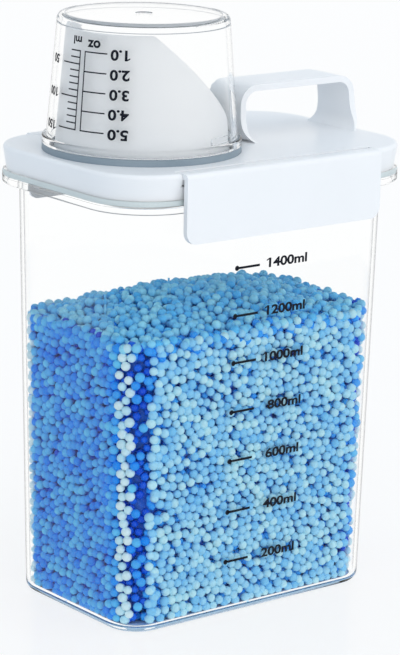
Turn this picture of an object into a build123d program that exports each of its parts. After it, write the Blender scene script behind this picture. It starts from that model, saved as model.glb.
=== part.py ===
"""Clear laundry container with a latched pouring lid and a measuring cup.

All sizes are millimetres. The origin is under the centre of the base, X runs
along the length with the pouring end at -X, the face with the scale looks to
-Y and Z points up.
"""
import os
from math import cos, pi, radians, sin, sqrt, tan

from build123d import *

# Container walls
base_length = 126.4
base_width = 80.0
base_corner = 14.7
body_height = 175.4
draft = 1.3
wall = 1.6
floor = 2.0
base_edge = 4.0
inner_base_edge = 3.0
foot_width = 9.0
foot_recess = 0.6

# Rim flange of the container
rim_overhang = 6.62
rim_height = 5.2
rim_plate = 2.2
rim_lip = 2.0
rim_edge = 0.8
rim_groove = 0.4
rim_groove_height = 0.7

# Lid shell
lid_inset = 1.7
lid_height = 10.1
lid_flare = 9.0
lid_plate = 2.2
lid_edge = 1.6
skirt_wall = 2.0

# Plug inside the mouth and its gasket
plug_gap = 1.2
plug_wall = 1.8
plug_depth = 4.4
gasket_height = 2.4
gasket_above_plug_end = 1.0
gasket_seat = 0.8
gasket_clearance = 0.1

# Pouring spout, on the same axis as the cup
cup_end_gap = 4.3
spout_cup_gap = 1.7
spout_taper = 4.2
spout_base_wall = 2.8
spout_top_wall = 1.8
spout_height = 48.5
mouth_start = 14.5
mouth_slope = 0.93
mouth_low_height = 4.5

# Measuring cup and the ring below it
cup_base_radius = 33.64
cup_mouth_radius = 37.9
cup_wall = 1.8
cup_base = 1.6
cup_height = 50.7
cup_edge = 2.4
cup_flange_radius = 39.3
cup_flange_height = 3.0
cup_flange_edge = 0.7
cup_dimple_radius = 3.4
cup_dimple_depth = 0.4
grip_rib_inset = 0.9
grip_rib_height = 2.6
grip_rib_above_mouth = 3.0
grip_rib_span = 24.0
grip_rib_angle = -67.0
ring_mouth_gap = 0.2
ring_flange_inset = 0.1
ring_height = 3.4
ring_seat = 0.6
ring_clearance = 0.1

# Handle
handle_cup_gap = 2.3
handle_end_gap = 0.9
handle_lean = 2.7
handle_rise = 22.5
handle_strap = 2.6
handle_bend = 8.0
handle_width = 20.0
handle_foot_width = 30.0
handle_flare_height = 12.0
handle_edge = 0.7

# Latches and the hinge that carries them
latch_drop = 27.2
latch_plate = 2.2
latch_gap = 0.5
latch_corner = 5.0
latch_bend = 2.0
latch_end_clearance = 0.2
hinge_inset = 3.1
hinge_drop = 2.5
hinge_bar_radius = 1.3
hinge_clearance = 0.15
knuckle_clearance = 0.2
hinge_web = 1.0
knuckle_open_from = -24.0
knuckle_open_to = 119.0
trough_wall = 1.8
hook_length = 72.0
hook_reach = 1.7
hook_height = 1.7
hook_clearance = 0.45

# Scent beads inside
bead_clearance = 0.3
bead_relief = 2.4
bead_pitch = 11.0
heap_level = 118.4
heap_rise = 7.4

# Sizes that follow from the ones above
widen = tan(radians(draft))
rim_spread = body_height * widen + rim_overhang
rim_length = base_length + 2 * rim_spread
rim_width = base_width + 2 * rim_spread
rim_corner = base_corner + rim_spread
lid_length = rim_length - 2 * lid_inset
lid_width = rim_width - 2 * lid_inset
lid_corner = rim_corner - lid_inset
rim_bottom = body_height - rim_height
lid_top = body_height + lid_height
plate_bottom = lid_top - lid_plate
plug_end = body_height - plug_depth
gasket_bottom = plug_end + gasket_above_plug_end
ring_bottom = lid_top - ring_seat
cup_mouth = ring_bottom + ring_height
cup_top = cup_mouth + cup_height
pour_x = cup_end_gap + cup_flange_radius - rim_length / 2
spout_base_radius = cup_mouth_radius - cup_wall - spout_cup_gap
spout_top_radius = spout_base_radius - spout_taper
spout_base_bore = spout_base_radius - spout_base_wall
spout_top_bore = spout_top_radius - spout_top_wall
ring_inner_radius = cup_mouth_radius - cup_wall + ring_mouth_gap
ring_outer_radius = cup_flange_radius - ring_flange_inset
handle_left = pour_x + cup_flange_radius + handle_cup_gap
handle_right_foot = rim_length / 2 - handle_end_gap
handle_right_top = handle_right_foot - handle_lean
latch_length = lid_length - 2 * lid_corner
latch_inner = rim_width / 2 + latch_gap
latch_outer = latch_inner + latch_plate
hinge_y = -(rim_width / 2 - hinge_inset)
hinge_z = lid_top - hinge_drop
knuckle_radius = hinge_drop
trough_reach = knuckle_radius + knuckle_clearance
trough_half = latch_length / 2 + latch_end_clearance


def outline(length, width, corner, z):
    """Rounded rectangle at height z."""
    return Pos(0, 0, z) * RectangleRounded(length, width, corner)


def wall_outline(z, inset):
    """Outline of the drafted wall at height z, moved inwards by inset."""
    grow = z * widen - inset
    return outline(base_length + 2 * grow, base_width + 2 * grow, base_corner + grow, z)


def block(x0, x1, y0, y1, z0, z1):
    """Box between two corners."""
    centre = Pos((x0 + x1) / 2, (y0 + y1) / 2, (z0 + z1) / 2)
    return centre * Box(x1 - x0, y1 - y0, z1 - z0)


def ring(outer, inner, height):
    """Upright ring between two outlines at the same height."""
    return extrude(outer, height) - extrude(inner, height)


def make_body():
    """Drafted clear walls with a flanged rim and a foot ring."""
    shell = extrude(wall_outline(0, 0), body_height, taper=-draft)
    shell = fillet(shell.edges().group_by(Axis.Z)[0], base_edge)
    flange = extrude(outline(rim_length, rim_width, rim_corner, rim_bottom), rim_height)
    flange = fillet(flange.edges().group_by(Axis.Z)[-1] + flange.edges().group_by(Axis.Z)[0], rim_edge)
    channel = outline(rim_length - 2 * rim_lip, rim_width - 2 * rim_lip, rim_corner - rim_lip, rim_bottom)
    flange -= extrude(channel, rim_height - rim_plate)
    groove_z = rim_bottom + rim_height / 2
    groove_outer = outline(rim_length + 2, rim_width + 2, rim_corner + 1, groove_z)
    groove_inner = outline(rim_length - 2 * rim_groove, rim_width - 2 * rim_groove,
                           rim_corner - rim_groove, groove_z)
    flange -= ring(groove_outer, groove_inner, rim_groove_height)
    cavity = extrude(wall_outline(floor, wall), body_height, taper=-draft)
    cavity = fillet(cavity.edges().group_by(Axis.Z)[0], inner_base_edge)
    foot = outline(base_length - 2 * foot_width, base_width - 2 * foot_width, base_corner - foot_width, 0)
    return shell + flange - cavity - extrude(foot, foot_recess)


def make_handle():
    """Bent strap with flared feet, both ends sunk into the lid plate."""
    foot_z = lid_top - lid_plate / 2
    top_z = lid_top + handle_rise
    with BuildSketch(Plane.XZ) as side:
        with BuildLine():
            Polyline((handle_left, foot_z), (handle_left, top_z), (handle_right_top, top_z),
                     (handle_right_foot, foot_z), close=True)
        make_face()
        fillet(side.vertices().group_by(Axis.Z)[-1], handle_bend)
    inset = handle_strap
    with BuildSketch(Plane.XZ) as gap:
        with BuildLine():
            Polyline((handle_left + inset, foot_z), (handle_left + inset, top_z - inset),
                     (handle_right_top - inset, top_z - inset), (handle_right_foot - inset, foot_z), close=True)
        make_face()
        fillet(gap.vertices().group_by(Axis.Z)[-1], handle_bend - inset)
    strap = extrude(side.sketch, handle_foot_width / 2, both=True)
    strap -= extrude(gap.sketch, handle_foot_width / 2, both=True)
    half = handle_width / 2
    foot_half = handle_foot_width / 2
    flare_z = lid_top + handle_flare_height
    mid = (half + 0.28 * (foot_half - half), lid_top + 0.42 * handle_flare_height)
    with BuildSketch(Plane.YZ) as front:
        with BuildLine():
            Polyline((-foot_half, lid_top), (-foot_half, foot_z), (foot_half, foot_z), (foot_half, lid_top))
            ThreePointArc((foot_half, lid_top), mid, (half, flare_z))
            Polyline((half, flare_z), (half, top_z), (-half, top_z), (-half, flare_z))
            ThreePointArc((-half, flare_z), (-mid[0], mid[1]), (-foot_half, lid_top))
        make_face()
    strap &= extrude(front.sketch, rim_length, both=True)
    return strap


def make_spout():
    """Tapered pouring tube, cut off at a slant towards the handle."""
    tube = Pos(pour_x, 0, lid_top) * Cone(spout_base_radius, spout_top_radius, spout_height,
                                          align=(Align.CENTER, Align.CENTER, Align.MIN))
    top_z = lid_top + spout_height
    low_z = lid_top + mouth_low_height
    mouth_x = pour_x - mouth_start
    low_x = mouth_x + (top_z - low_z) / mouth_slope
    with BuildSketch(Plane.XZ) as cut:
        with BuildLine():
            Polyline((mouth_x, top_z), (low_x, low_z), (rim_length, low_z),
                     (rim_length, top_z + 5), (mouth_x, top_z + 5), close=True)
        make_face()
    return tube - extrude(cut.sketch, rim_width, both=True)


def make_hinge_seat():
    """Trough block on the front edge of the lid, before its notch is cut."""
    return block(-trough_half - trough_wall, trough_half + trough_wall,
                 -lid_width / 2 + skirt_wall / 4, hinge_y + trough_reach + trough_wall,
                 hinge_z - trough_reach - trough_wall, plate_bottom + lid_plate / 2)


def make_hinge_notch():
    """Room for the latch knuckle in the front edge of the lid."""
    return block(-trough_half, trough_half, -rim_width, hinge_y + trough_reach,
                 hinge_z - trough_reach, lid_top + lid_height)


def make_hinge_bar():
    """Hinge bead on a thin web along the notch."""
    length = 2 * trough_half + trough_wall
    bar = Pos(0, hinge_y, hinge_z) * Rot(0, 90, 0) * Cylinder(hinge_bar_radius, length)
    web = block(-length / 2, length / 2, hinge_y - hinge_web / 2, hinge_y + hinge_web / 2,
                hinge_z - trough_reach - trough_wall / 2, hinge_z)
    return bar + web


def make_lid():
    """Lid shell with plug, spout, handle and the hinge bars of both latches."""
    shell = extrude(outline(lid_length, lid_width, lid_corner, body_height), lid_height, taper=-lid_flare)
    shell = fillet(shell.edges().group_by(Axis.Z)[-1], lid_edge)
    hollow = outline(lid_length - 2 * skirt_wall, lid_width - 2 * skirt_wall,
                     lid_corner - skirt_wall, body_height)
    shell -= extrude(hollow, lid_height - lid_plate, taper=-lid_flare)
    inset = wall + plug_gap
    grow = plug_end * widen - inset
    plug_length = base_length + 2 * grow
    plug_width = base_width + 2 * grow
    plug_corner = base_corner + grow
    plug_outer = outline(plug_length, plug_width, plug_corner, plug_end)
    plug_inner = outline(plug_length - 2 * plug_wall, plug_width - 2 * plug_wall,
                         plug_corner - plug_wall, plug_end)
    plug = ring(plug_outer, plug_inner, plate_bottom + lid_plate / 2 - plug_end)
    seat_outer = outline(plug_length + 2, plug_width + 2, plug_corner + 1, gasket_bottom)
    seat_inner = outline(plug_length - 2 * gasket_seat, plug_width - 2 * gasket_seat,
                         plug_corner - gasket_seat, gasket_bottom)
    plug -= ring(seat_outer, seat_inner, gasket_height)
    seat = make_hinge_seat()
    notch = make_hinge_notch()
    bar = make_hinge_bar()
    shell = shell + plug + seat + mirror(seat, about=Plane.XZ)
    shell = shell - notch - mirror(notch, about=Plane.XZ)
    shell = shell + bar + mirror(bar, about=Plane.XZ)
    ring_groove = Pos(pour_x, 0, ring_bottom) * (
        Cylinder(ring_outer_radius + ring_clearance, ring_seat,
                 align=(Align.CENTER, Align.CENTER, Align.MIN))
        - Cylinder(ring_inner_radius - ring_clearance, ring_seat,
                   align=(Align.CENTER, Align.CENTER, Align.MIN)))
    shell = shell - ring_groove + make_spout() + make_handle()
    slope = (spout_base_bore - spout_top_bore) / spout_height
    bore_height = spout_height + lid_plate + 1
    bore_base = spout_base_bore + slope * lid_plate
    bore = Pos(pour_x, 0, plate_bottom) * Cone(bore_base, bore_base - slope * bore_height, bore_height,
                                               align=(Align.CENTER, Align.CENTER, Align.MIN))
    return shell - bore


def make_gasket():
    """Silicone seal in the groove of the plug."""
    plug_grow = plug_end * widen - wall - plug_gap
    inner_grow = plug_grow - gasket_seat + gasket_clearance
    outer_grow = gasket_bottom * widen - wall - gasket_clearance
    low = gasket_bottom + gasket_clearance
    outer = outline(base_length + 2 * outer_grow, base_width + 2 * outer_grow, base_corner + outer_grow, low)
    inner = outline(base_length + 2 * inner_grow, base_width + 2 * inner_grow, base_corner + inner_grow, low)
    return ring(outer, inner, gasket_height - 2 * gasket_clearance)


def make_latch():
    """Front latch: knuckle, top web, plate and the hook under the rim."""
    half = latch_length / 2
    plate = block(-half, half, -latch_outer, -latch_inner, lid_top - latch_drop, lid_top)
    web = block(-half, half, -latch_inner, hinge_y, lid_top - latch_plate, lid_top)
    arm = plate + web
    top_edge = arm.edges().filter_by(Axis.X).group_by(Axis.Z)[-1].sort_by(Axis.Y)[0]
    arm = fillet(top_edge, latch_bend)
    low_edges = arm.edges().filter_by(Axis.Y).group_by(Axis.Z)[0]
    arm = fillet(low_edges, latch_corner)
    axis = Pos(0, hinge_y, hinge_z)
    reach = 2 * knuckle_radius
    steps = 3
    sweep = (knuckle_open_to - knuckle_open_from) / steps
    corners = [(0, 0)]
    for step in range(steps + 1):
        angle = radians(knuckle_open_from + step * sweep)
        corners.append((reach * sin(angle), -reach * cos(angle)))
    opening = extrude(Plane.YZ * make_face(Polyline(*corners, close=True)), latch_length, both=True)
    knuckle = Rot(0, 90, 0) * Cylinder(knuckle_radius, latch_length) - opening
    hook_top = rim_bottom - hook_clearance
    hook = block(-hook_length / 2, hook_length / 2, -latch_inner - latch_plate / 2,
                 -latch_inner + hook_reach, hook_top - hook_height, hook_top)
    hook_edge = hook.edges().filter_by(Axis.X).group_by(Axis.Z)[0].sort_by(Axis.Y)[-1]
    hook = chamfer(hook_edge, hook_height * 0.6)
    room = axis * Rot(0, 90, 0) * Cylinder(hinge_bar_radius + hinge_clearance, 2 * latch_length)
    return arm + axis * knuckle + hook - room


def make_cup_ring():
    """Silicone ring in the lid groove, under the mouth of the cup."""
    outer = Cylinder(ring_outer_radius, ring_height, align=(Align.CENTER, Align.CENTER, Align.MIN))
    inner = Cylinder(ring_inner_radius, ring_height, align=(Align.CENTER, Align.CENTER, Align.MIN))
    return Pos(pour_x, 0, ring_bottom) * (outer - inner)


def make_cup():
    """Upside-down measuring cup with a flange at its mouth."""
    low = (Align.CENTER, Align.CENTER, Align.MIN)
    solid = Cone(cup_mouth_radius, cup_base_radius, cup_height, align=low)
    solid = fillet(solid.edges().group_by(Axis.Z)[-1], cup_edge)
    flange = Cylinder(cup_flange_radius, cup_flange_height, align=low)
    flange = fillet(flange.edges().group_by(Axis.Z)[-1], cup_flange_edge)
    slope = (cup_mouth_radius - cup_base_radius) / cup_height
    inner_height = cup_height - cup_base
    inner_mouth = cup_mouth_radius - cup_wall
    inner_end = inner_mouth - slope * inner_height
    inside = Cone(inner_mouth, inner_end, inner_height, align=low)
    inside = fillet(inside.edges().group_by(Axis.Z)[-1], cup_edge - cup_wall)
    rib_room = Pos(0, 0, grip_rib_above_mouth) * Cylinder(cup_mouth_radius, grip_rib_height, align=low)
    rib_bore = Pos(0, 0, grip_rib_above_mouth) * Cylinder(inner_mouth - grip_rib_inset, grip_rib_height, align=low)
    spread = 2 * cup_mouth_radius * tan(radians(grip_rib_span / 2))
    rib_wedge = block(0, 2 * cup_mouth_radius, -spread / 2, spread / 2, 0, cup_height / 2)
    rib_gap = make_face(Polyline((0, 0), (cup_flange_radius, spread / 2), (cup_flange_radius, -spread / 2), close=True))
    sector = extrude(rib_gap, cup_height / 2) & rib_wedge
    rib_outer = Cone(cup_mouth_radius - cup_wall / 2, cup_base_radius - cup_wall / 2, cup_height, align=low)
    rib = rib_room & rib_outer & sector
    rib -= rib_bore
    cup = solid + flange - inside
    cup += Rot(0, 0, grip_rib_angle) * rib
    cup += Rot(0, 0, grip_rib_angle + 180) * rib
    dimple = Pos(0, 0, cup_height - cup_dimple_depth) * Cylinder(cup_dimple_radius, cup_dimple_depth, align=low)
    return Pos(pour_x, 0, cup_mouth) * (cup - dimple)


def heap_loop(z, inset, count, shift):
    """Points round the wall outline at height z, moved inwards by inset."""
    grow = z * widen - inset
    half_x = base_length / 2 - base_corner
    half_y = base_width / 2 - base_corner
    corner = base_corner + grow
    arc = pi * corner / 2
    runs = (2 * half_y, arc, 2 * half_x, arc, 2 * half_y, arc, 2 * half_x, arc)
    points = []
    for index in range(count):
        rest = (index + shift) / count * sum(runs)
        leg = 0
        while rest > runs[leg]:
            rest -= runs[leg]
            leg += 1
        turn = leg // 2 * pi / 2
        side_x = half_x if leg // 2 in (0, 3) else -half_x
        side_y = half_y if leg // 2 in (0, 1) else -half_y
        if leg % 2:
            turn += rest / corner
            points.append((side_x + corner * cos(turn), side_y + corner * sin(turn)))
        else:
            back = runs[leg] - rest
            points.append((side_x + corner * cos(turn) + back * sin(turn),
                           side_y + corner * sin(turn) - back * cos(turn)))
    return points


def heap_top(x, y):
    """Height of the domed top of the heap."""
    share = abs(2 * x / base_length) ** 3 + (2 * y / base_width) ** 4
    return heap_level + heap_rise * max(1 - sqrt(share), 0)


def make_beads():
    """Heap of scent beads as one solid with a pebbled skin and a domed top."""
    low = floor + bead_clearance
    peak = wall + bead_clearance
    valley = peak + bead_relief
    count = round((2 * base_length + 2 * base_width - (8 - 2 * pi) * base_corner) / bead_pitch)
    rows = round((heap_level - low) / bead_pitch)
    rings = round(base_width / 2 / bead_pitch)
    rims = []
    middles = []
    for row in range(rows + 1):
        z = low + (heap_level - low) * row / rows
        rims.append([(x, y, z) for x, y in heap_loop(z, valley, count, 0)])
    for row in range(rows):
        z = low + (heap_level - low) * (row + 0.5) / rows
        middles.append([(x, y, z) for x, y in heap_loop(z, peak, count, 0.5)])
    edge = heap_loop(heap_level, valley, count, 0)
    half_edge = heap_loop(heap_level, valley, count, 0.5)
    for step in range(1, rings):
        near = 1 - step / rings
        rims.append([(x * near, y * near, heap_top(x * near, y * near) - bead_relief) for x, y in edge])
    for step in range(rings - 1):
        near = 1 - (step + 0.5) / rings
        middles.append([(x * near, y * near, heap_top(x * near, y * near)) for x, y in half_edge])
    skin = [Face(Wire.make_polygon(rims[0]))]
    for row, cells in enumerate(middles):
        for index, middle in enumerate(cells):
            after = (index + 1) % count
            ring_points = (rims[row][index], rims[row][after], rims[row + 1][after], rims[row + 1][index])
            for side in range(4):
                skin.append(Face(Wire.make_polygon([ring_points[side], ring_points[(side + 1) % 4], middle])))
    crown = (0, 0, heap_top(0, 0))
    for index in range(count):
        skin.append(Face(Wire.make_polygon([rims[-1][index], rims[-1][(index + 1) % count], crown])))
    return Solid(Shell(skin))


def main():
    """Builds every piece and writes one file for each."""
    latch = make_latch()
    pieces = {
        "container_body": make_body(),
        "lid": make_lid(),
        "lid_gasket": make_gasket(),
        "front_latch": latch,
        "rear_latch": mirror(latch, about=Plane.XZ),
        "cup_seal_ring": make_cup_ring(),
        "measuring_cup": make_cup(),
        "scent_beads": make_beads(),
    }
    os.makedirs("parts", exist_ok=True)
    for name, shape in pieces.items():
        export_step(shape, "parts/" + name + ".step")


main()
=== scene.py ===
from math import atan2, cos, degrees, pi, radians, sin, sqrt, tan

import bpy
import numpy as np
from bpy.props import FloatProperty, FloatVectorProperty, IntProperty, PointerProperty
from mathutils import Euler, Matrix, Vector
from mathutils.kdtree import KDTree


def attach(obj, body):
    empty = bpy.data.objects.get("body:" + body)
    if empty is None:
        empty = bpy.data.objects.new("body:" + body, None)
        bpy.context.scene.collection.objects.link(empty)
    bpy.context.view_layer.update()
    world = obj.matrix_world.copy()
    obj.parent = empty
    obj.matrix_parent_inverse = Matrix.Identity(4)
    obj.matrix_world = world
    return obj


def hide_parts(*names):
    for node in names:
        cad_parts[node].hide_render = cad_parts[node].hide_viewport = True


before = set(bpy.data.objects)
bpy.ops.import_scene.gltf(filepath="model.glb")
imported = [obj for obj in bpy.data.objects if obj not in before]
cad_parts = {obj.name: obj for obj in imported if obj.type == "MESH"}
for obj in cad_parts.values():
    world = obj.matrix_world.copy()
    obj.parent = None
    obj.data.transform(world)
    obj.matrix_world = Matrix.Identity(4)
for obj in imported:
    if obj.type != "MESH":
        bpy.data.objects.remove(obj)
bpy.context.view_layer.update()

bl_info = {
    "name": "Laundry bead container",
    "version": (1, 0, 0),
    "blender": (4, 5, 0),
    "location": "View3D > Sidebar > Container",
    "description": "Dresses the laundry bead container with its materials, beads and printed scales",
    "category": "Object",
}

MM = 0.001

# Sizes shared with the solids, in millimetres
BASE_LENGTH = 126.4
BASE_WIDTH = 80.0
BASE_CORNER = 14.7
DRAFT = 1.3
WALL = 1.6
FLOOR = 2.0
HEAP_LEVEL = 118.4
HEAP_RISE = 7.4
POUR_X = -30.2
RIM_TOP = 175.4
RIM_OVERHANG = 6.62
CUP_MOUTH = 188.3
CUP_HEIGHT = 50.7
CUP_TOP = CUP_MOUTH + CUP_HEIGHT
CUP_MOUTH_RADIUS = 37.9
CUP_BASE_RADIUS = 33.64
RING_INNER = 36.3
RING_OUTER = 39.2
RING_LOW = 184.9

# Clear plastic, darkened where an upright wall is seen edge on: painted shade in place of its dark edge
# lines
CLEAR_TINT = (0.995, 1.0, 1.0)
CLEAR_SHINE = 0.3
BODY_EDGE_START = 0.68
CUP_EDGE_START = 0.78
EDGE_FADE = 0.2
UPRIGHT_LEAN = (0.15, 0.35)

# Drift of the finishes, as the part of the noise that is used and the depth of the grain
NOISE_SPREAD = (0.3, 0.7)
GRAIN_DEPTH = 0.1
SMOOTH_ANGLE = 35.0

# Pale bands of painted light inside the clear plastic, which keep its thick edges from turning black
RIM_BAND_INSET = 1.2
RIM_BAND_HEIGHTS = (RIM_TOP - 2.0, RIM_TOP - 0.15)
RIM_BAND_STEPS = 240
CUP_BAND_DROP = 3.6
CUP_BAND_DEPTHS = (-0.12, -1.6)
CUP_PLATE_RADIUS = 30.7
CUP_PLATE_HEIGHTS = (CUP_TOP - 1.54, CUP_TOP - 0.06)
CUP_BAND_STEPS = 96
BAND_THICKNESS = 0.1

# Rounded section of the seal ring, just clear of the cup's mouth
RING_EDGE = 0.35
RING_CLEARANCE = 0.08
RING_EDGE_STEPS = 4
RING_STEPS = 144

# Bead layers, with gaps in millimetres, steps as shares of a bead and turns round a corner in degrees
# Bead tones by place are painted light and shade on one blue: lighter on the long walls, darker on the
# short walls, on the heap's top and in the second layer, with a painted highlight band and a painted
# shade band at each corner
BEAD_TONES = ("front", "pale", "side", "top", "deep", "gap")
WALL_GAP = 0.15
FLOOR_GAP = 0.3
HEAP_GAP = 0.2
WALL_LAYER_STEP = 0.58
HEAP_LAYER_STEP = 0.8
HEAP_SCATTER = (-1.8, 1.3)
WALL_TOP_SINK = 0.6
WALL_STRAY = 0.014
WALL_BEAD_SIZES = (0.88, 1.06)
HEAP_BEAD_SIZES = (0.9, 1.05)
# Turns that bound the short walls' painted shade, each corner's painted highlight band and its loose
# painted shade band
SIDE_TURN = 15
PALE_TURN = 39
DEEP_TURN = 72
DEEP_COVER = 0.28
PACK_ROW_STEP = 0.866
PACK_ROUNDS = 10
PACK_REACH = 0.94
PACK_PUSH = 0.35
FLOOR_BED_INSET = 3.0
FLOOR_BED_GAP = 0.4
# Film: pale sheet of painted light on the floor under the beads, seen through the base's bottom edge
FILM_INSET = 1.2
FILM_THICKNESS = 0.2
FILM_STEPS = 160
CORE_SCALE = (0.92, 0.88, 0.9)
CORE_LIFT = 4.0

# Volume scale on the front wall
TICK_HEIGHTS = (22.9, 43.8, 65.0, 85.2, 105.3, 124.4, 143.7)
TICK_VOLUME = 200
DOT_RADIUS = 1.05
DOT_STEPS = 16
LABEL_STRETCH = 1.36
LABEL_DROP = 1.4
PRINT_THICKNESS = 0.04

# Dose scales on the cup, with turns in degrees round its axis
DOSE_TOP = 227.4
DOSE_LOW = 197.3
DOSE_LINE = 0.5
DOSE_OVERRUN = 0.25
DOSE_PROUD = 0.06
DOSE_RADIUS = 35.8
DOSE_STEPS = 8
ML_AXIS = 189.4
ML_SHORT = 181.0
ML_LONG = 173.5
ML_LABEL = 162.0
ML_FIRST = 30
ML_STEP = 10
ML_TICKS = 13
ML_LABELLED = 50
ML_DIGITS = 3.2
ML_STRETCH = 1.25
ML_RAISE = 0.3
ML_RAISE_LOSS = 0.5
OZ_AXIS = 193.5
OZ_TICK = 209.8
OZ_LABEL = 218.5
OZ_TICKS = 5
OZ_DIGITS = 3.8
OZ_STRETCH = 1.2
OZ_DROP = 0.3

# Words, letter height, stretch, turn and height on the cup of each unit
DOSE_UNITS = (
    ("ml", 3.0, 1.15, ML_AXIS - 3.1, DOSE_TOP + 3.9),
    ("oz", 3.8, 1.1, OZ_AXIS + 6.4, DOSE_TOP + 3.3),
)

# Font of the print
CAP_SHARE = 0.7
BOLD_SHARE = 0.045
FLAG_OUTLINE = ((0.0, 1.0), (-0.24, 0.84), (-0.24, 0.7), (0.05, 0.86))

# Stage, with the floor's half width and the clipping in metres and the rest in millimetres and degrees
FLOOR_HALF = 6.0
FLOOR_ROUGHNESS = 0.12
FLOOR_DROP = 0.3
LIGHT_FROM = (0.0, -0.95, 0.2)
CAMERA_PLACE = (-692.6, -874.74, 390.08)
CAMERA_TURN = (75.8437, -1.2137, -38.1054)
CAMERA_LENS = 155.87
CAMERA_SENSOR = 36.0
CAMERA_CLIP = (0.05, 50.0)


def length(name, description, size, low=0.0):
    """Property for a length, whose default is given in millimetres."""
    return FloatProperty(name=name, description=description, default=size * MM, min=low, unit="LENGTH")


def share(name, description, level):
    """Property for a share from nothing to all."""
    return FloatProperty(
        name=name, description=description, default=level, min=0.0, max=1.0, subtype="FACTOR"
    )


def amount(name, description, level):
    """Property for a plain amount without a unit."""
    return FloatProperty(name=name, description=description, default=level, min=0.0)


def tone(name, description, color):
    """Property for a colour."""
    return FloatVectorProperty(
        name=name, description=description, default=color, size=3, min=0.0, max=1.0, subtype="COLOR"
    )


def mm(size):
    """Length property in millimetres, without the noise of its stored value."""
    return round(size / MM, 4)


class BeadSettings(bpy.types.PropertyGroup):
    """Size, packing and colours of the scent beads, whose tones by place are painted light and shade."""
    diameter: length("Diameter", "Size of one bead", 3.9)
    spacing: length("Spacing", "Distance at which the beads are packed", 3.85)
    jitter: share("Jitter", "Share of the spacing by which beads stray from even rows", 0.5)
    seed: IntProperty(name="Seed", description="Start of the random packing", default=7, min=0)
    # Long walls: lighter tones as painted light
    front_dark: tone("Front, dark", "Darkest bead at the long walls", (0.21, 0.62, 1.0))
    front_light: tone("Front, light", "Lightest bead at the long walls", (0.54, 0.89, 1.0))
    # Pale corner band: painted highlight
    pale_dark: tone("Pale band, dark", "Darkest bead of the pale corner band", (0.5, 0.84, 1.0))
    pale_light: tone("Pale band, light", "Lightest bead of the pale corner band", (0.78, 0.96, 1.0))
    # Short walls: darker tones as painted shade
    side_dark: tone("Side, dark", "Darkest bead at the short walls", (0.006, 0.28, 1.0))
    side_light: tone("Side, light", "Lightest bead at the short walls", (0.15, 0.63, 1.0))
    # Heap's top: darker tones as painted shade
    top_dark: tone("Top, dark", "Darkest bead on top of the heap", (0.1, 0.54, 1.0))
    top_light: tone("Top, light", "Lightest bead on top of the heap", (0.34, 0.8, 1.0))
    # Deep corner band: painted shade
    deep_dark: tone("Deep band, dark", "Darkest bead of the deep corner band", (0.003, 0.08, 0.7))
    deep_light: tone("Deep band, light", "Lightest bead of the deep corner band", (0.01, 0.16, 0.85))
    # Second layer: darker tones as painted shade between the first layer's beads
    gap_dark: tone("Second layer, dark", "Darkest bead behind the first layer", (0.02, 0.32, 1.0))
    gap_light: tone("Second layer, light", "Lightest bead behind the first layer", (0.06, 0.44, 1.0))
    # Core: darker blue as painted shade deep inside the heap
    core: tone("Core", "Colour deep inside the heap", (0.03, 0.22, 0.92))
    # Film: pale colour as painted light, which keeps the base's bottom edge from turning dark
    film: tone("Film", "Colour of the layer of wax on the floor", (0.46, 0.68, 0.9))


class PlasticSettings(bpy.types.PropertyGroup):
    """Finishes of the plastics, the silicone and the print, with the painted shade at the clear plastic's
    edges and the pale bands of painted light in its thick edges.
    """
    body_bend: amount("Container bend", "Refractive index of the container's plastic", 1.22)
    # Edge colours: painted shade that darkens the clear plastic where an upright wall is seen edge on
    body_edge: tone("Container edge", "Tint of the container's upright edges", (0.08, 0.1, 0.12))
    cup_bend: amount("Cup bend", "Refractive index of the cup's plastic", 1.15)
    cup_edge: tone("Cup edge", "Tint of the cup's upright edges", (0.42, 0.47, 0.52))
    # Rim and cup bands: painted light, pale colour inside the thick clear edges that keeps them from
    # turning black
    rim_band: tone("Rim band", "Colour that shows in the thick rim", (0.7, 0.79, 0.81))
    cup_band: tone("Cup band", "Colour that shows in the cup's thick edge", (0.5, 0.53, 0.56))
    white: tone("White plastic", "Colour of the lid and its latches", (0.87, 0.875, 0.885))
    gasket: tone("Gasket", "Colour of the lid's seal", (0.84, 0.89, 0.9))
    ring: tone("Seal ring", "Colour of the ring under the cup", (0.22, 0.28, 0.33))
    ink: tone("Print", "Colour of the printed scales", (0.004, 0.006, 0.014))


class ScaleSettings(bpy.types.PropertyGroup):
    """Printed volume scale on the front wall."""
    tick_left: length("Tick left end", "Place of the ticks' left end from the middle", -15.6, low=-0.06)
    tick_length: length("Tick length", "Length of each tick", 11.4)
    line: length("Line width", "Width of each tick", 0.95)
    digit_height: length("Digit height", "Height of the digits", 3.6)
    label_right: length("Label right end", "Place of the labels' right end from the middle", 20.1)
    proud: length("Stands proud", "Distance of the print from the wall", 0.05)


class StageSettings(bpy.types.PropertyGroup):
    """Light of the stage."""
    level: amount("Level", "Light from all sides", 0.82)
    front: amount("Front light", "Light added from the front", 0.68)
    shade: tone("Shade colour", "Colour of the light from behind", (0.74, 0.87, 1.0))
    floor: tone("Floor colour", "Colour of the floor under the object", (0.94, 0.95, 0.96))
    floor_glow: share("Floor whiteness", "Share of plain white that the floor shows", 0.78)


def new_material(name):
    """Material with its Principled shader."""
    material = bpy.data.materials.new(name)
    material.use_nodes = True
    return material, material.node_tree.nodes["Principled BSDF"]


def calculate(tree, operation, first, second=None):
    """Output of a Math node that is fed by sockets or numbers."""
    made = tree.nodes.new("ShaderNodeMath")
    made.operation = operation
    for socket, value in zip(made.inputs, (first, second)):
        if isinstance(value, bpy.types.NodeSocket):
            tree.links.new(value, socket)
        elif value is not None:
            socket.default_value = value
    return made.outputs["Value"]


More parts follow.
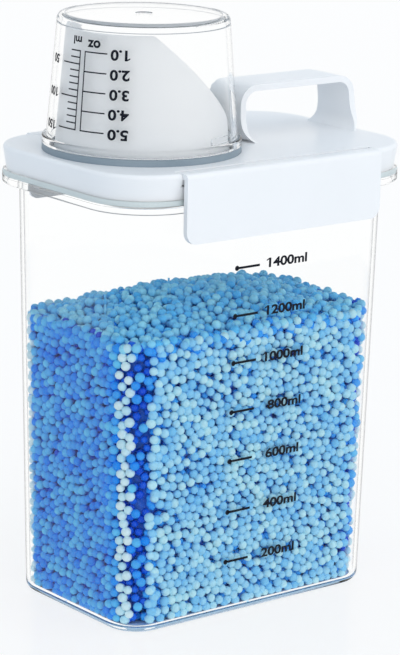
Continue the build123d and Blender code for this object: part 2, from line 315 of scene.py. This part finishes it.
def remap(tree, value, old, new, steps="LINEAR"):
    """Output of a Map Range node from one range to another."""
    made = tree.nodes.new("ShaderNodeMapRange")
    made.interpolation_type = steps
    made.inputs["From Min"].default_value = old[0]
    made.inputs["From Max"].default_value = old[1]
    made.inputs["To Min"].default_value = new[0]
    made.inputs["To Max"].default_value = new[1]
    tree.links.new(value, made.inputs["Value"])
    return made.outputs["Result"]


def seen_through(tree, path):
    """Output that is 1 for light that comes by a reflection or through clear plastic."""
    return calculate(tree, "MAXIMUM", path.outputs["Is Glossy Ray"], path.outputs["Is Transmission Ray"])


def shade_between(tree, value, first, last, places=(0.0, 1.0)):
    """Output of a colour ramp between two colours."""
    made = tree.nodes.new("ShaderNodeValToRGB")
    for element, place, color in zip(made.color_ramp.elements, places, (first, last)):
        element.position = place
        element.color = (*color, 1.0)
    tree.links.new(value, made.inputs["Fac"])
    return made.outputs["Color"]


def object_noise(tree, scale, detail=2.0):
    """Output of noise that is fixed to the object."""
    place = tree.nodes.new("ShaderNodeTexCoord")
    noise = tree.nodes.new("ShaderNodeTexNoise")
    noise.inputs["Scale"].default_value = scale
    noise.inputs["Detail"].default_value = detail
    tree.links.new(place.outputs["Object"], noise.inputs["Vector"])
    return noise.outputs["Fac"]


def uneven_polish(tree, shader, scale, low, high):
    """Lets the roughness drift between two levels, and gives back the noise."""
    noise = object_noise(tree, scale, detail=3.0)
    tree.links.new(remap(tree, noise, NOISE_SPREAD, (low, high)), shader.inputs["Roughness"])
    return noise


def drifting_color(tree, shader, noise, color, drift):
    """Lets the colour drift up to a slightly lighter one with the noise."""
    lighter = [min(value + drift, 1.0) for value in color]
    shaded = shade_between(tree, noise, color, lighter, places=NOISE_SPREAD)
    tree.links.new(shaded, shader.inputs["Base Color"])


def moulded_grain(tree, shader, scale, strength):
    """Fine grain of a moulded surface."""
    bump = tree.nodes.new("ShaderNodeBump")
    bump.inputs["Strength"].default_value = strength
    bump.inputs["Distance"].default_value = GRAIN_DEPTH * MM
    tree.links.new(object_noise(tree, scale), bump.inputs["Height"])
    tree.links.new(bump.outputs["Normal"], shader.inputs["Normal"])


def clear_material(name, bend, edge_start, edge_shade):
    """Clear plastic with faintly uneven polish, darkened where an upright wall is seen edge on as painted
    shade of its dark edge lines.
    """
    material, shader = new_material(name)
    tree = material.node_tree
    shader.inputs["Transmission Weight"].default_value = 1.0
    shader.inputs["IOR"].default_value = bend
    shader.inputs["Specular Tint"].default_value = (CLEAR_SHINE, CLEAR_SHINE, CLEAR_SHINE, 1.0)
    uneven_polish(tree, shader, scale=18.0, low=0.0, high=0.03)
    edge = tree.nodes.new("ShaderNodeLayerWeight")
    grazing = remap(tree, edge.outputs["Facing"], (edge_start, edge_start + EDGE_FADE), (0.0, 1.0))
    place = tree.nodes.new("ShaderNodeTexCoord")
    split = tree.nodes.new("ShaderNodeSeparateXYZ")
    tree.links.new(place.outputs["Normal"], split.inputs["Vector"])
    lean = calculate(tree, "ABSOLUTE", split.outputs["Z"])
    upright = remap(tree, lean, UPRIGHT_LEAN, (1.0, 0.0))
    # Painted shade: the colour darkens towards the edge colour on upright walls seen edge on
    edge_shaded = calculate(tree, "MULTIPLY", grazing, upright)
    color = shade_between(tree, edge_shaded, CLEAR_TINT, edge_shade)
    tree.links.new(color, shader.inputs["Base Color"])
    return material


def white_material(name, color):
    """Satin white plastic with a fine moulded grain."""
    material, shader = new_material(name)
    noise = uneven_polish(material.node_tree, shader, scale=45.0, low=0.28, high=0.4)
    drifting_color(material.node_tree, shader, noise, color, drift=0.016)
    moulded_grain(material.node_tree, shader, scale=1400.0, strength=0.12)
    return material


def silicone_material(name, color):
    """Soft silicone, and pale sheets of painted light, with a little drift in its colour."""
    material, shader = new_material(name)
    noise = uneven_polish(material.node_tree, shader, scale=60.0, low=0.4, high=0.55)
    drifting_color(material.node_tree, shader, noise, color, drift=0.04)
    moulded_grain(material.node_tree, shader, scale=900.0, strength=0.1)
    return material


def ink_material(name, color):
    """Dark print with slightly uneven cover."""
    material, shader = new_material(name)
    shader.inputs["Specular IOR Level"].default_value = 0.1
    noise = uneven_polish(material.node_tree, shader, scale=300.0, low=0.45, high=0.65)
    drifting_color(material.node_tree, shader, noise, color, drift=0.007)
    return material


def bead_material(name, dark, light):
    """Waxy blue with a different tone for each bead."""
    material, shader = new_material(name)
    tree = material.node_tree
    shader.inputs["Specular IOR Level"].default_value = 0.2
    uneven_polish(tree, shader, scale=500.0, low=0.35, high=0.55)
    island = tree.nodes.new("ShaderNodeNewGeometry")
    color = shade_between(tree, island.outputs["Random Per Island"], dark, light)
    tree.links.new(color, shader.inputs["Base Color"])
    return material


def core_material(name, color):
    """Dull blue deep inside the heap, darker as painted shade."""
    material, shader = new_material(name)
    shader.inputs["Specular IOR Level"].default_value = 0.0
    noise = uneven_polish(material.node_tree, shader, scale=250.0, low=0.8, high=1.0)
    drifting_color(material.node_tree, shader, noise, color, drift=0.07)
    return material


def finish_node(name, material):
    """Gives a CAD node its material and smooths its faceting except at real edges."""
    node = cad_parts[name]
    node.data.materials.clear()
    node.data.materials.append(material)
    node.data.polygons.foreach_set("use_smooth", [True] * len(node.data.polygons))
    node.data.set_sharp_from_angle(angle=radians(SMOOTH_ANGLE))


def place_piece(name, mesh, material, body):
    """Adds a mesh as a piece that rides a body."""
    mesh.materials.clear()
    mesh.materials.append(material)
    piece = bpy.data.objects.new(name, mesh)
    bpy.context.scene.collection.objects.link(piece)
    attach(piece, body)
    return piece


def new_piece(name, points, faces, material, body, smooth=False, thickness=0.0):
    """Adds a piece given in millimetres; a sheet gets a thickness, so that it is closed."""
    mesh = bpy.data.meshes.new(name)
    mesh.from_pydata([tuple(point) for point in np.asarray(points) * MM], [], faces)
    mesh.update()
    mesh.polygons.foreach_set("use_smooth", [smooth] * len(mesh.polygons))
    piece = place_piece(name, mesh, material, body)
    if thickness:
        solid = piece.modifiers.new("thickness", "SOLIDIFY")
        solid.thickness = thickness * MM
        solid.offset = 0.0
    return piece


def band_faces(steps, start=0):
    """Quads of a closed band whose points come in pairs."""
    corners = [(2 * step, 2 * step + 1, 2 * step + 3, 2 * step + 2) for step in range(steps)]
    return [tuple(start + corner % (2 * steps) for corner in quad) for quad in corners]


def wall_size(z, inset):
    """Length, width and corner radius of the drafted wall at height z."""
    grow = z * tan(radians(DRAFT)) - inset
    return BASE_LENGTH + 2 * grow, BASE_WIDTH + 2 * grow, BASE_CORNER + grow


def wall_point(way_round, z, inset):
    """Point on the wall's outline at a share of its way round."""
    long_side, short_side, corner = wall_size(z, inset)
    straight_x = long_side - 2 * corner
    straight_y = short_side - 2 * corner
    arc = pi * corner / 2
    rest = way_round * (2 * straight_x + 2 * straight_y + 4 * arc)
    sides = (
        (straight_x, (1, 0), (0, -short_side / 2), (1, -1)),
        (straight_y, (0, 1), (long_side / 2, 0), (1, 1)),
        (straight_x, (-1, 0), (0, short_side / 2), (-1, 1)),
        (straight_y, (0, -1), (-long_side / 2, 0), (-1, -1)),
    )
    for index, (straight, way, middle, sign) in enumerate(sides):
        if rest <= straight:
            run = rest - straight / 2
            return middle[0] + way[0] * run, middle[1] + way[1] * run
        rest -= straight
        if rest <= arc:
            turn = (index - 1) * pi / 2 + rest / corner
            x = sign[0] * straight_x / 2 + corner * cos(turn)
            y = sign[1] * straight_y / 2 + corner * sin(turn)
            return x, y
        rest -= arc
    return -straight_x / 2, -short_side / 2


def inside_wall(x, y, z, inset):
    """True if a point lies inside the wall's outline moved inwards by inset."""
    long_side, short_side, corner = wall_size(z, inset)
    past_x = max(abs(x) - (long_side / 2 - corner), 0.0)
    past_y = max(abs(y) - (short_side / 2 - corner), 0.0)
    return past_x * past_x + past_y * past_y <= corner * corner


def corner_turn(x, y, z, inset):
    """Turn round the nearest corner in degrees, from the short wall at 0 to the long one at 90."""
    long_side, short_side, corner = wall_size(z, inset)
    past_x = abs(x) - (long_side / 2 - corner)
    past_y = abs(y) - (short_side / 2 - corner)
    if max(past_x, past_y) <= 0:
        return 90.0
    return degrees(atan2(max(past_y, 0.0), max(past_x, 0.0)))


def heap_height(x, y):
    """Height of the heap's domed top."""
    away = abs(2 * x / BASE_LENGTH) ** 3 + (2 * y / BASE_WIDTH) ** 4
    return HEAP_LEVEL + HEAP_RISE * max(1 - sqrt(away), 0.0)


def cup_point(turn, z, proud):
    """Point on the outside of the cup."""
    along = (z - CUP_MOUTH) / CUP_HEIGHT
    radius = CUP_MOUTH_RADIUS + (CUP_BASE_RADIUS - CUP_MOUTH_RADIUS) * along + proud
    return POUR_X + radius * cos(turn), radius * sin(turn), z


def front_point(x, z, proud):
    """Point on the front wall."""
    return x, -(BASE_WIDTH / 2 + z * tan(radians(DRAFT)) + proud), z


def packed_points(width, height, spacing, jitter, rng):
    """Loose packing of points on a flat sheet, pushed apart until few overlap."""
    columns = int(width / spacing)
    rows = int(height / (spacing * PACK_ROW_STEP))
    grid = []
    for row in range(rows):
        for column in range(columns):
            x = (column + 0.5 * (row % 2)) * width / columns
            grid.append((x, (row + 0.5) * height / rows, 0.0))
    points = np.array(grid)
    points[:, :2] += rng.uniform(-jitter, jitter, (len(points), 2)) * spacing
    reach = spacing * PACK_REACH
    for _ in range(PACK_ROUNDS):
        tree = KDTree(len(points))
        for index, point in enumerate(points):
            tree.insert(point, index)
        tree.balance()
        push = np.zeros_like(points)
        for index, point in enumerate(points):
            for other, _, distance in tree.find_range(point, reach):
                if distance > 1e-6:
                    away = (point - np.array(other)) / distance
                    push[index] += away * (reach - distance) * PACK_PUSH
        points += push
    return points[:, :2]


def ball(level):
    """Points and triangles of a ball of radius 1, from a divided icosahedron."""
    g = (1 + sqrt(5)) / 2
    corners = []
    for a in (-1, 1):
        for b in (-g, g):
            corners += [(a, b, 0), (0, a, b), (b, 0, a)]
    points = [np.array(corner) / np.linalg.norm(corner) for corner in corners]
    longest_edge = 2.1 / np.linalg.norm((1, g))
    faces = []
    for a in range(12):
        for b in range(a + 1, 12):
            for c in range(b + 1, 12):
                sides = (points[a] - points[b], points[b] - points[c], points[c] - points[a])
                if max(np.linalg.norm(side) for side in sides) < longest_edge:
                    outward = np.dot(np.cross(sides[0], sides[1]), points[a]) > 0
                    faces.append((a, b, c) if outward else (a, c, b))
    for _ in range(level):
        middle = {}
        finer = []
        for a, b, c in faces:
            mids = []
            for pair in ((a, b), (b, c), (c, a)):
                pair = tuple(sorted(pair))
                if pair not in middle:
                    point = points[pair[0]] + points[pair[1]]
                    middle[pair] = len(points)
                    points.append(point / np.linalg.norm(point))
                mids.append(middle[pair])
            finer += [(a, mids[0], mids[2]), (b, mids[1], mids[0]), (c, mids[2], mids[1]), tuple(mids)]
        faces = finer
    return np.array(points), np.array(faces)


def add_beads(name, centres, radii, level, material):
    """One piece of many beads."""
    shape, faces = ball(level)
    centres = np.asarray(centres)
    sized = shape[None] * np.asarray(radii)[:, None, None]
    points = (centres[:, None, :] + sized).reshape(-1, 3) * MM
    first = np.arange(len(centres)) * len(shape)
    triangles = (faces[None] + first[:, None, None]).reshape(-1, 3)
    mesh = bpy.data.meshes.new(name)
    mesh.vertices.add(len(points))
    mesh.vertices.foreach_set("co", points.ravel())
    mesh.loops.add(triangles.size)
    mesh.loops.foreach_set("vertex_index", triangles.ravel())
    mesh.polygons.add(len(triangles))
    mesh.polygons.foreach_set("loop_start", np.arange(0, triangles.size, 3))
    mesh.polygons.foreach_set("use_smooth", [True] * len(triangles))
    mesh.update(calc_edges=True)
    mesh.validate()
    return place_piece(name, mesh, material, "container")


def wall_tone(turn, layer, rng):
    """Tone of a bead at the wall as painted light and shade: lighter on the long walls, darker on the
    short walls and in the second layer, with a painted highlight band and a loose painted shade band at
    each corner.
    """
    # The second layer is darker, as painted shade between the first layer's beads
    if layer:
        return "deep" if turn < DEEP_TURN else "gap"
    # In the painted shade band most first-layer beads are left out, so that the darker second layer shows
    if PALE_TURN < turn < DEEP_TURN:
        return "side" if rng.uniform() < DEEP_COVER else None
    if turn > PALE_TURN:
        return "front"
    # Painted highlight band near each corner, darker painted shade on the short walls
    return "pale" if turn > SIDE_TURN else "side"


def text_mesh(words, height, align):
    """Flat letters in millimetres, standing on y 0."""
    curve = bpy.data.curves.new("letters", "FONT")
    curve.body = words
    curve.align_x = align
    curve.size = height / CAP_SHARE
    curve.offset = height * BOLD_SHARE
    letters = bpy.data.objects.new("letters", curve)
    bpy.context.scene.collection.objects.link(letters)
    evaluated = letters.evaluated_get(bpy.context.evaluated_depsgraph_get())
    mesh = bpy.data.meshes.new_from_object(evaluated)
    points = np.array([tuple(vertex.co)[:2] for vertex in mesh.vertices])
    faces = [tuple(polygon.vertices) for polygon in mesh.polygons]
    bpy.data.objects.remove(letters)
    bpy.data.meshes.remove(mesh)
    if words.startswith("1"):
        flag = np.array(FLAG_OUTLINE) * height + (points[:, 0].min(), 0.0)
        faces.append(tuple(range(len(points), len(points) + len(flag))))
        points = np.vstack([points, flag])
    return points, faces


class Print:
    """Flat shapes that are gathered into one printed piece."""

    def __init__(self):
        self.points = []
        self.faces = []

    def add(self, points, faces):
        """Adds points that lie on the surface, with their faces."""
        start = len(self.points)
        self.points.extend(points)
        self.faces.extend(tuple(start + corner for corner in face) for face in faces)

    def finish(self, name, material, body):
        """Makes the piece."""
        new_piece(name, self.points, self.faces, material, body, thickness=PRINT_THICKNESS)


class CONTAINER_OT_clear_parts(bpy.types.Operator):
    """Clear plastic on the container and the cup, with the pale bands of painted light in their thick
    edges
    """
    bl_idname = "container.clear_parts"
    bl_label = "Clear parts"

    def rim_band(self):
        """Points and faces of the band of painted light in the container's rim."""
        points = []
        for step in range(RIM_BAND_STEPS):
            x, y = wall_point(step / RIM_BAND_STEPS, RIM_TOP, RIM_BAND_INSET - RIM_OVERHANG)
            points += [(x, y, z) for z in RIM_BAND_HEIGHTS]
        return points, band_faces(RIM_BAND_STEPS)

    def cup_bands(self):
        """Points and faces of the bands of painted light in the cup's wall and in its base plate."""
        turns = [2 * pi * step / CUP_BAND_STEPS for step in range(CUP_BAND_STEPS)]
        points = []
        for turn in turns:
            points += [cup_point(turn, CUP_TOP - CUP_BAND_DROP, depth) for depth in CUP_BAND_DEPTHS]
        faces = band_faces(CUP_BAND_STEPS) + band_faces(CUP_BAND_STEPS, start=len(points))
        for turn in turns:
            x = POUR_X + CUP_PLATE_RADIUS * cos(turn)
            y = CUP_PLATE_RADIUS * sin(turn)
            points += [(x, y, z) for z in CUP_PLATE_HEIGHTS]
        return points, faces

    def execute(self, context):
        finish = context.scene.container_plastic
        body = clear_material("container_body_clear", finish.body_bend, BODY_EDGE_START, finish.body_edge)
        finish_node("container_body", body)
        cup = clear_material("measuring_cup_clear", finish.cup_bend, CUP_EDGE_START, finish.cup_edge)
        finish_node("measuring_cup", cup)
        # The bands are painted light: pale sheets that keep the thick clear edges from turning black
        bands = (
            ("rim_edge", self.rim_band(), finish.rim_band, "container"),
            ("cup_edge", self.cup_bands(), finish.cup_band, "cup"),
        )
        for name, (points, faces), color, rides in bands:
            material = silicone_material(name + "_pale", color)
            new_piece(name, points, faces, material, rides, thickness=BAND_THICKNESS)
        return {"FINISHED"}


class CONTAINER_OT_white_parts(bpy.types.Operator):
    """White plastic on the lid and its latches"""
    bl_idname = "container.white_parts"
    bl_label = "White parts"

    def execute(self, context):
        for name in ("lid", "front_latch", "rear_latch"):
            finish_node(name, white_material(name + "_white", context.scene.container_plastic.white))
        return {"FINISHED"}


class CONTAINER_OT_seals(bpy.types.Operator):
    """Silicone on the gasket, and a softened ring under the cup"""
    bl_idname = "container.seals"
    bl_label = "Seals"

    def ring_profile(self):
        """Section of the ring with rounded edges, as radius and height."""
        inner = RING_INNER + RING_EDGE
        outer = RING_OUTER - RING_EDGE
        low = RING_LOW + RING_EDGE
        high = CUP_MOUTH - RING_CLEARANCE - RING_EDGE
        profile = []
        for index, (radius, z) in enumerate(((outer, low), (outer, high), (inner, high), (inner, low))):
            for step in range(RING_EDGE_STEPS + 1):
                turn = (index - 1 + step / RING_EDGE_STEPS) * pi / 2
                profile.append((radius + RING_EDGE * cos(turn), z + RING_EDGE * sin(turn)))
        return profile

    def execute(self, context):
        finish = context.scene.container_plastic
        finish_node("lid_gasket", silicone_material("gasket_pale", finish.gasket))
        profile = self.ring_profile()
        count = len(profile)
        points = []
        faces = []
        for step in range(RING_STEPS):
            turn = 2 * pi * step / RING_STEPS
            points += [(POUR_X + radius * cos(turn), radius * sin(turn), z) for radius, z in profile]
            here = step * count
            after = (step + 1) % RING_STEPS * count
            for index in range(count):
                following = (index + 1) % count
                faces.append((here + index, after + index, after + following, here + following))
        grey = silicone_material("ring_grey", finish.ring)
        ring = new_piece("seal_ring", points, faces, grey, "container", smooth=True)
        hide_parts("cup_seal_ring")
        return {"FINISHED"}


class CONTAINER_OT_beads(bpy.types.Operator):
    """Loose scent beads in place of the heap solid"""
    bl_idname = "container.beads"
    bl_label = "Scent beads"

    def wall_beads(self, tones, rng):
        """Two layers of beads along the walls, in tones of painted light and shade."""
        low = FLOOR + FLOOR_GAP + self.radius
        pieces = []
        for layer in range(2):
            inset = WALL + WALL_GAP + self.radius + layer * 2 * self.radius * WALL_LAYER_STEP
            long_side, short_side, corner = wall_size((HEAP_LEVEL + HEAP_RISE) / 2, inset)
            around = 2 * (long_side + short_side) - (8 - 2 * pi) * corner
            groups = {name: [] for name in BEAD_TONES}
            high = HEAP_LEVEL + HEAP_RISE - low
            for along, up in packed_points(around, high, self.spacing, self.jitter, rng):
                z = max(low + up - self.radius, low)
                x, y = wall_point((along / around) % 1.0, z, inset)
                if z < heap_height(x, y) - self.radius * WALL_TOP_SINK:
                    inward = 1 - rng.uniform(0, WALL_STRAY)
                    name = wall_tone(corner_turn(x, y, z, inset), layer, rng)
                    if name:
                        groups[name].append((x * inward, y * inward, z))
            for name, centres in groups.items():
                if centres:
                    radii = self.radius * rng.uniform(*WALL_BEAD_SIZES, len(centres))
                    pieces.append(add_beads("wall_beads_" + name, centres, radii, 1 - layer, tones[name]))
        return pieces

    def heap_beads(self, tones, rng):
        """Two layers of beads on top of the heap, in darker tones of painted shade."""
        inset = WALL + HEAP_GAP + self.radius
        long_side, short_side, _ = wall_size(HEAP_LEVEL, inset)
        pieces = []
        # The second layer is darker, as painted shade between the beads on top
        for layer, name in enumerate(("top", "gap")):
            drop = self.radius + layer * 2 * self.radius * HEAP_LAYER_STEP
            centres = []
            for along, across in packed_points(long_side, short_side, self.spacing, self.jitter, rng):
                x = along - long_side / 2
                y = across - short_side / 2
                z = heap_height(x, y) - drop + rng.uniform(*HEAP_SCATTER)
                if inside_wall(x, y, z, inset):
                    centres.append((x, y, z))
            radii = self.radius * rng.uniform(*HEAP_BEAD_SIZES, len(centres))
            pieces.append(add_beads("heap_beads_" + name, centres, radii, 1, tones[name]))
        return pieces

    def floor_beads(self, tones, rng):
        """One layer of beads on the floor, in the short walls' darker tone of painted shade."""
        inset = WALL + self.radius + FLOOR_BED_INSET
        z = FLOOR + FLOOR_BED_GAP + self.radius
        long_side, short_side, _ = wall_size(z, inset)
        centres = []
        for along, across in packed_points(long_side, short_side, self.spacing, self.jitter, rng):
            x = along - long_side / 2
            y = across - short_side / 2
            if inside_wall(x, y, z, inset):
                centres.append((x, y, z))
        return add_beads("floor_beads", centres, [self.radius] * len(centres), 0, tones["side"])

    def film(self, color):
        """Pale sheet of painted light on the floor, sunk a little into it so that it shows from below and
        keeps the base's bottom edge from turning dark.
        """
        outline = [wall_point(step / FILM_STEPS, FLOOR, WALL + FILM_INSET) for step in range(FILM_STEPS)]
        points = [(x, y, FLOOR + FILM_THICKNESS / 4) for x, y in outline]
        return new_piece(
            "bead_film", points, [tuple(range(FILM_STEPS))], silicone_material("bead_film_painted_light", color),
            "container", thickness=FILM_THICKNESS,
        )

    def core(self, color):
        """Shrunken copy of the heap solid behind the layers of beads, in a darker blue of painted shade.
        """
        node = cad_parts["scent_beads"]
        mesh = node.data.copy()
        lifted = Matrix.Translation((0, 0, CORE_LIFT * MM))
        mesh.transform(lifted @ Matrix.Diagonal((*CORE_SCALE, 1)) @ node.matrix_world)
        material = core_material("bead_core_painted_shade", color)
        return place_piece("bead_core", mesh, material, "container")

    def execute(self, context):
        settings = context.scene.container_beads
        self.radius = mm(settings.diameter) / 2
        self.spacing = mm(settings.spacing)
        self.jitter = settings.jitter
        rng = np.random.RandomState(settings.seed)
        tones = {}
        for name in BEAD_TONES:
            dark = getattr(settings, name + "_dark")
            tones[name] = bead_material("bead_" + name, dark, getattr(settings, name + "_light"))
        pieces = self.wall_beads(tones, rng) + self.heap_beads(tones, rng)
        pieces.append(self.floor_beads(tones, rng))
        pieces.append(self.film(settings.film))
        pieces.append(self.core(settings.core))
        for piece in pieces:
            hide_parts("scent_beads")
        return {"FINISHED"}


class CONTAINER_OT_scale(bpy.types.Operator):
    """Printed volume scale on the front wall"""
    bl_idname = "container.scale"
    bl_label = "Volume scale"

    def execute(self, context):
        settings = context.scene.container_scale
        left = mm(settings.tick_left)
        right = left + mm(settings.tick_length)
        half = mm(settings.line) / 2
        proud = mm(settings.proud)
        turns = [2 * pi * step / DOT_STEPS for step in range(DOT_STEPS)]
        marks = Print()
        for index, z in enumerate(TICK_HEIGHTS):
            tick = ((left, z - half), (right, z - half), (right, z + half), (left, z + half))
            marks.add([front_point(x, height, proud) for x, height in tick], [(0, 1, 2, 3)])
            dot = [(left + DOT_RADIUS * cos(turn), z + DOT_RADIUS * sin(turn)) for turn in turns]
            marks.add([front_point(x, height, proud) for x, height in dot], [tuple(range(DOT_STEPS))])
            words = "%dml" % (TICK_VOLUME * (index + 1))
            flat, faces = text_mesh(words, mm(settings.digit_height), "RIGHT")
            label = [(mm(settings.label_right) + LABEL_STRETCH * x, z - LABEL_DROP + y) for x, y in flat]
            marks.add([front_point(x, height, proud) for x, height in label], faces)
        ink = ink_material("scale_ink", context.scene.container_plastic.ink)
        marks.finish("volume_scale", ink, "container")
        return {"FINISHED"}


class CONTAINER_OT_cup_scale(bpy.types.Operator):
    """Printed dose scales on the cup, upside down like the cup"""
    bl_idname = "container.cup_scale"
    bl_label = "Cup scales"

    def add_bar(self, marks, start, end):
        """Thin bar between two places on the cup, each a turn in degrees and a height."""
        upright = start[0] == end[0]
        points = []
        for step in range(DOSE_STEPS + 1):
            along = step / DOSE_STEPS
            turn = radians(start[0] + (end[0] - start[0]) * along)
            z = start[1] + (end[1] - start[1]) * along
            for shift in (DOSE_LINE / 2, -DOSE_LINE / 2):
                if upright:
                    points.append(cup_point(turn + shift / DOSE_RADIUS, z, DOSE_PROUD))
                else:
                    points.append(cup_point(turn, z + shift, DOSE_PROUD))
        quads = [(2 * step, 2 * step + 1, 2 * step + 3, 2 * step + 2) for step in range(DOSE_STEPS)]
        marks.add(points, quads)

    def add_label(self, marks, words, height, stretch, turn, z):
        """Letters centred on a place on the cup, turned upside down."""
        flat, faces = text_mesh(words, height, "CENTER")
        flat = (flat - (flat.min(axis=0) + flat.max(axis=0)) / 2) * (stretch, 1.0)
        points = [cup_point(radians(turn) - x / DOSE_RADIUS, z - y, DOSE_PROUD) for x, y in flat]
        marks.add(points, faces)

    def execute(self, context):
        marks = Print()
        for axis in (ML_AXIS, OZ_AXIS):
            self.add_bar(marks, (axis, DOSE_TOP + DOSE_OVERRUN), (axis, DOSE_LOW - DOSE_OVERRUN))
        for index in range(ML_TICKS):
            down = index / (ML_TICKS - 1)
            z = DOSE_TOP + (DOSE_LOW - DOSE_TOP) * down
            dose = ML_FIRST + ML_STEP * index
            labelled = dose % ML_LABELLED == 0
            self.add_bar(marks, (ML_AXIS, z), (ML_LONG if labelled else ML_SHORT, z))
            if labelled:
                middle = z + ML_RAISE - ML_RAISE_LOSS * down
                self.add_label(marks, str(dose), ML_DIGITS, ML_STRETCH, ML_LABEL, middle)
        for index in range(OZ_TICKS):
            z = DOSE_TOP + (DOSE_LOW - DOSE_TOP) * index / (OZ_TICKS - 1)
            self.add_bar(marks, (OZ_AXIS, z), (OZ_TICK, z))
            words = "%d.0" % (index + 1)
            self.add_label(marks, words, OZ_DIGITS, OZ_STRETCH, OZ_LABEL, z - OZ_DROP)
        for unit in DOSE_UNITS:
            self.add_label(marks, *unit)
        marks.finish("cup_scale", ink_material("cup_ink", context.scene.container_plastic.ink), "cup")
        return {"FINISHED"}


class CONTAINER_OT_stage(bpy.types.Operator):
    """Floor, world and camera"""
    bl_idname = "container.stage"
    bl_label = "Stage"

    def floor_material(self, settings):
        """White floor that keeps the shadow and shows as white through clear plastic."""
        material, shader = new_material("floor_white")
        shader.inputs["Base Color"].default_value = (*settings.floor, 1.0)
        shader.inputs["Roughness"].default_value = FLOOR_ROUGHNESS
        tree = material.node_tree
        path = tree.nodes.new("ShaderNodeLightPath")
        direct = remap(tree, path.outputs["Is Camera Ray"], (0.0, 1.0), (0.0, settings.floor_glow))
        through = seen_through(tree, path)
        mix = tree.nodes.new("ShaderNodeMixShader")
        glow = tree.nodes.new("ShaderNodeEmission")
        tree.links.new(calculate(tree, "MAXIMUM", direct, through), mix.inputs["Fac"])
        tree.links.new(shader.outputs["BSDF"], mix.inputs[1])
        tree.links.new(glow.outputs["Emission"], mix.inputs[2])
        tree.links.new(mix.outputs["Shader"], tree.nodes["Material Output"].inputs["Surface"])
        return material

    def add_floor(self, scene, settings):
        """Wide floor just under the base."""
        mesh = bpy.data.meshes.new("floor")
        sides = (-FLOOR_HALF, FLOOR_HALF)
        corners = [(x, y, 0.0) for y in sides for x in sides]
        mesh.from_pydata(corners, [], [(0, 1, 3, 2)])
        mesh.materials.append(self.floor_material(settings))
        floor = bpy.data.objects.new("floor", mesh)
        floor.location.z = -FLOOR_DROP * MM
        scene.collection.objects.link(floor)

    def light_world(self, scene, settings):
        """Pale studio that is brighter in front and shows as white."""
        world = bpy.data.worlds.new("studio")
        scene.world = world
        world.use_nodes = True
        tree = world.node_tree
        place = tree.nodes.new("ShaderNodeTexCoord")
        toward = tree.nodes.new("ShaderNodeVectorMath")
        toward.operation = "DOT_PRODUCT"
        toward.inputs[1].default_value = Vector(LIGHT_FROM).normalized()
        tree.links.new(place.outputs["Generated"], toward.inputs[0])
        facing = toward.outputs["Value"]
        levels = (settings.level, settings.level + settings.front)
        light = remap(tree, facing, (0.0, 1.0), levels, steps="SMOOTHSTEP")
        cool = shade_between(tree, facing, settings.shade, (1.0, 1.0, 1.0))
        path = tree.nodes.new("ShaderNodeLightPath")
        shown = calculate(tree, "MAXIMUM", path.outputs["Is Camera Ray"], seen_through(tree, path))
        direct = calculate(tree, "LESS_THAN", path.outputs["Diffuse Depth"], 0.5)
        seen = calculate(tree, "MULTIPLY", shown, direct)
        color = tree.nodes.new("ShaderNodeMix")
        color.data_type = "RGBA"
        color.inputs["B"].default_value = (1.0, 1.0, 1.0, 1.0)
        tree.links.new(seen, color.inputs["Factor"])
        tree.links.new(cool, color.inputs["A"])
        strength = tree.nodes.new("ShaderNodeMix")
        strength.inputs["B"].default_value = 1.0
        tree.links.new(seen, strength.inputs["Factor"])
        tree.links.new(light, strength.inputs["A"])
        background = tree.nodes["Background"]
        tree.links.new(color.outputs["Result"], background.inputs["Color"])
        tree.links.new(strength.outputs["Result"], background.inputs["Strength"])

    def add_camera(self, scene):
        """Camera at the photograph's viewing angle."""
        camera = bpy.data.cameras.new("camera")
        camera.lens = CAMERA_LENS
        camera.sensor_width = CAMERA_SENSOR
        camera.clip_start, camera.clip_end = CAMERA_CLIP
        eye = bpy.data.objects.new("camera", camera)
        eye.location = Vector(CAMERA_PLACE) * MM
        eye.rotation_euler = Euler([radians(angle) for angle in CAMERA_TURN], "XYZ")
        scene.collection.objects.link(eye)
        scene.camera = eye

    def execute(self, context):
        scene = context.scene
        scene.view_settings.view_transform = "Standard"
        self.add_floor(scene, scene.container_stage)
        self.light_world(scene, scene.container_stage)
        self.add_camera(scene)
        return {"FINISHED"}


class CONTAINER_PT_panel(bpy.types.Panel):
    """Buttons that dress the container, and their settings"""
    bl_idname = "CONTAINER_PT_panel"
    bl_label = "Container"
    bl_space_type = "VIEW_3D"
    bl_region_type = "UI"
    bl_category = "Container"

    def draw(self, context):
        for step in STEPS:
            self.layout.operator(step.bl_idname)
        for group in GROUPS:
            settings = getattr(context.scene, group)
            for field in settings.__annotations__:
                self.layout.prop(settings, field)


GROUPS = {
    "container_beads": BeadSettings,
    "container_plastic": PlasticSettings,
    "container_scale": ScaleSettings,
    "container_stage": StageSettings,
}
STEPS = (
    CONTAINER_OT_clear_parts,
    CONTAINER_OT_white_parts,
    CONTAINER_OT_seals,
    CONTAINER_OT_beads,
    CONTAINER_OT_scale,
    CONTAINER_OT_cup_scale,
    CONTAINER_OT_stage,
)
CLASSES = (*GROUPS.values(), *STEPS, CONTAINER_PT_panel)


def register():
    for cls in CLASSES:
        bpy.utils.register_class(cls)
    for group, cls in GROUPS.items():
        setattr(bpy.types.Scene, group, PointerProperty(type=cls))


def unregister():
    for group in GROUPS:
        delattr(bpy.types.Scene, group)
    for cls in reversed(CLASSES):
        bpy.utils.unregister_class(cls)


def main():
    register()
    bpy.ops.container.clear_parts()
    bpy.ops.container.white_parts()
    bpy.ops.container.seals()
    bpy.ops.container.beads()
    bpy.ops.container.scale()
    bpy.ops.container.cup_scale()
    bpy.ops.container.stage()


if __name__ == "__main__":
    main()
